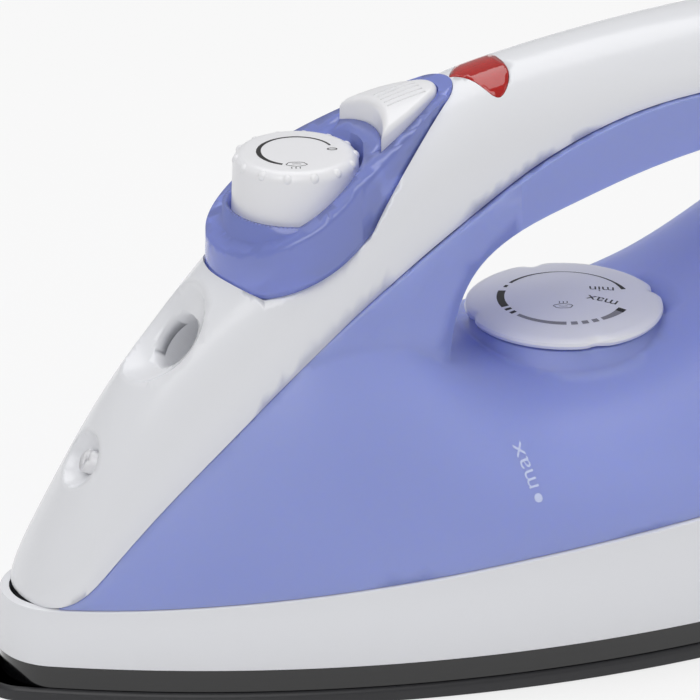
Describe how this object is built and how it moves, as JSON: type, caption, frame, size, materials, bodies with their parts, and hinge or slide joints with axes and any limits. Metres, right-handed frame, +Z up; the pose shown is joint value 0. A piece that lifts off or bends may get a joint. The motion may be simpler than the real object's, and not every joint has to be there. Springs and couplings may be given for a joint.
{
  "type": "steam iron",
  "caption": "Electric steam iron for clothes with a coated sole, translucent water tank, looped handle, steam knob, spray button, temperature dial and swivelling cord gland.",
  "frame": {"origin": "middle of the bounding box at the level of the sole's underside", "axes": "+Z up from the sole, -X towards the pointed nose, +X towards the cord gland, Y across, symmetrical about Y = 0"},
  "size_m": [0.2638, 0.1176, 0.1443],
  "materials": {
    "sole_metal": "die-cast, dark non-stick coating",
    "heater_steel": "sheathed tube",
    "sheet_steel": "stamped",
    "screw_steel": "zinc plated",
    "black_resin": "gloss heat-proof resin",
    "white_shell": "satin gloss moulding",
    "white_controls": "satin moulding",
    "blue_tank": "frosted translucent",
    "blue_clear": "polished translucent",
    "blue_solid": "moulded",
    "grey_plastic": "moulded",
    "soft_hose": "silicone",
    "brass_valve": "turned",
    "spring_steel": "wire",
    "ceramic": "glazed thermostat block",
    "lamp_red": "clear tinted",
    "lamp_glass": "clear",
    "wire_cover": "silicone sleeve"
  },
  "bodies": {
    "iron_body": {"soleplate": "sole_metal", "heating_element": "heater_steel", "steam_chamber_cover": "sheet_steel", "heat_shield": "black_resin", "base_skirt": "white_shell", "chamber_screws": "screw_steel", "base_screws": "screw_steel", "tank_shell": "blue_tank", "tank_lid": "blue_solid", "tank_floor": "blue_solid", "upper_cover": "white_shell", "filler_throat": "blue_solid", "spray_nozzle": "white_controls", "nozzle_hose": "soft_hose", "control_collar": "blue_clear", "valve_seat": "brass_valve", "pump_body": "grey_plastic", "button_spring": "spring_steel", "pump_inlet": "grey_plastic", "thermostat_body": "ceramic", "thermal_fuse": "sheet_steel", "lamp_lens": "lamp_red", "lamp_holder": "grey_plastic", "neon_lamp": "lamp_glass", "rear_cover": "white_shell", "heel_screws": "screw_steel", "terminal_block": "ceramic", "cord_clamp": "grey_plastic", "lead_wires": "wire_cover"},
    "temperature_dial": {"temperature_dial": "white_controls", "thermostat_spindle": "screw_steel"},
    "steam_knob": {"steam_knob": "white_controls"},
    "steam_valve": {"valve_stem": "brass_valve"},
    "spray_button": {"spray_button": "white_controls", "pump_piston": "soft_hose"},
    "cord_swivel": {"cord_swivel": "grey_plastic"}
  },
  "joints": [
    {"name": "temperature_dial_turn", "type": "hinge", "parent": "iron_body", "child": "temperature_dial", "pos_m": [0.0224, 0, 0.07], "axis": [0, 0, 1], "range_deg": [-310, 0]},
    {"name": "steam_knob_turn", "type": "hinge", "parent": "iron_body", "child": "steam_knob", "pos_m": [-0.0496, 0, 0.11], "axis": [0, 0, 1], "range_deg": [-245, 17]},
    {"name": "steam_valve_lift", "type": "slide", "parent": "iron_body", "child": "steam_valve", "axis": [0, 0, 1], "range_m": [-0.00025, 0.0032]},
    {"name": "spray_button_press", "type": "slide", "parent": "iron_body", "child": "spray_button", "axis": [0, 0, -1], "range_m": [0, 0.004], "stiffness_N_per_m": 400, "springref_m": -0.002, "deforming": ["button_spring"]},
    {"name": "cord_swivel_swing", "type": "hinge", "parent": "iron_body", "child": "cord_swivel", "pos_m": [0.1074, 0, 0.116], "axis": [0, 1, 0], "range_deg": [-40, 35]}
  ],
  "couplings": [
    {"joint": "steam_valve_lift", "follows": "steam_knob_turn", "m_per_rad": -0.00072}
  ]
}
